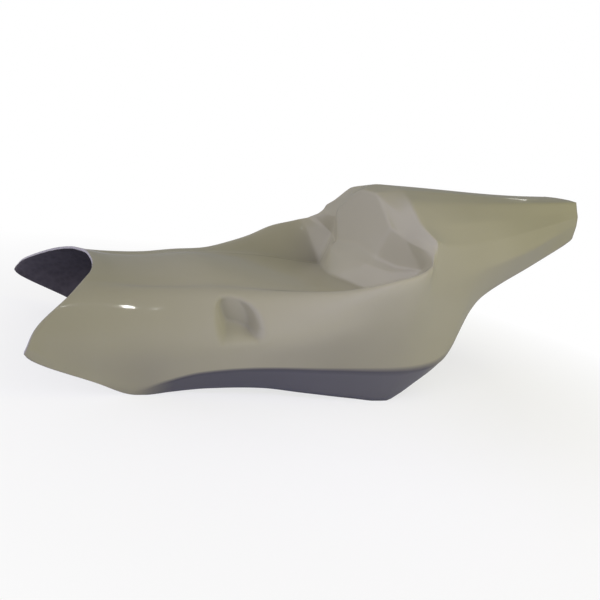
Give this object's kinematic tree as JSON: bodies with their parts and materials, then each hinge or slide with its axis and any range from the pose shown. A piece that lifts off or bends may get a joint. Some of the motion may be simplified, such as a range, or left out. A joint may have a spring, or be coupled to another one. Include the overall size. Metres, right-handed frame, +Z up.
{
  "type": "racing seat unit",
  "caption": "One-piece glass-fibre motorcycle race seat: shell open underneath, tank cut-out between pointed wings, faceted bum stop, side recesses and an upswept tail.",
  "frame": {"origin": "centre of the bounding box in plan, on the plane of the four rim points it stands on", "axes": "+X from the front wings to the tail, +Y to the seat's right-hand side, +Z up"},
  "size_m": [0.835, 0.3772, 0.31],
  "materials": {
    "gelcoat": "glossy cream gelcoat outside, raw dark laminate inside"
  },
  "bodies": {
    "root": {"seat_shell": "gelcoat"}
  },
  "joints": []
}
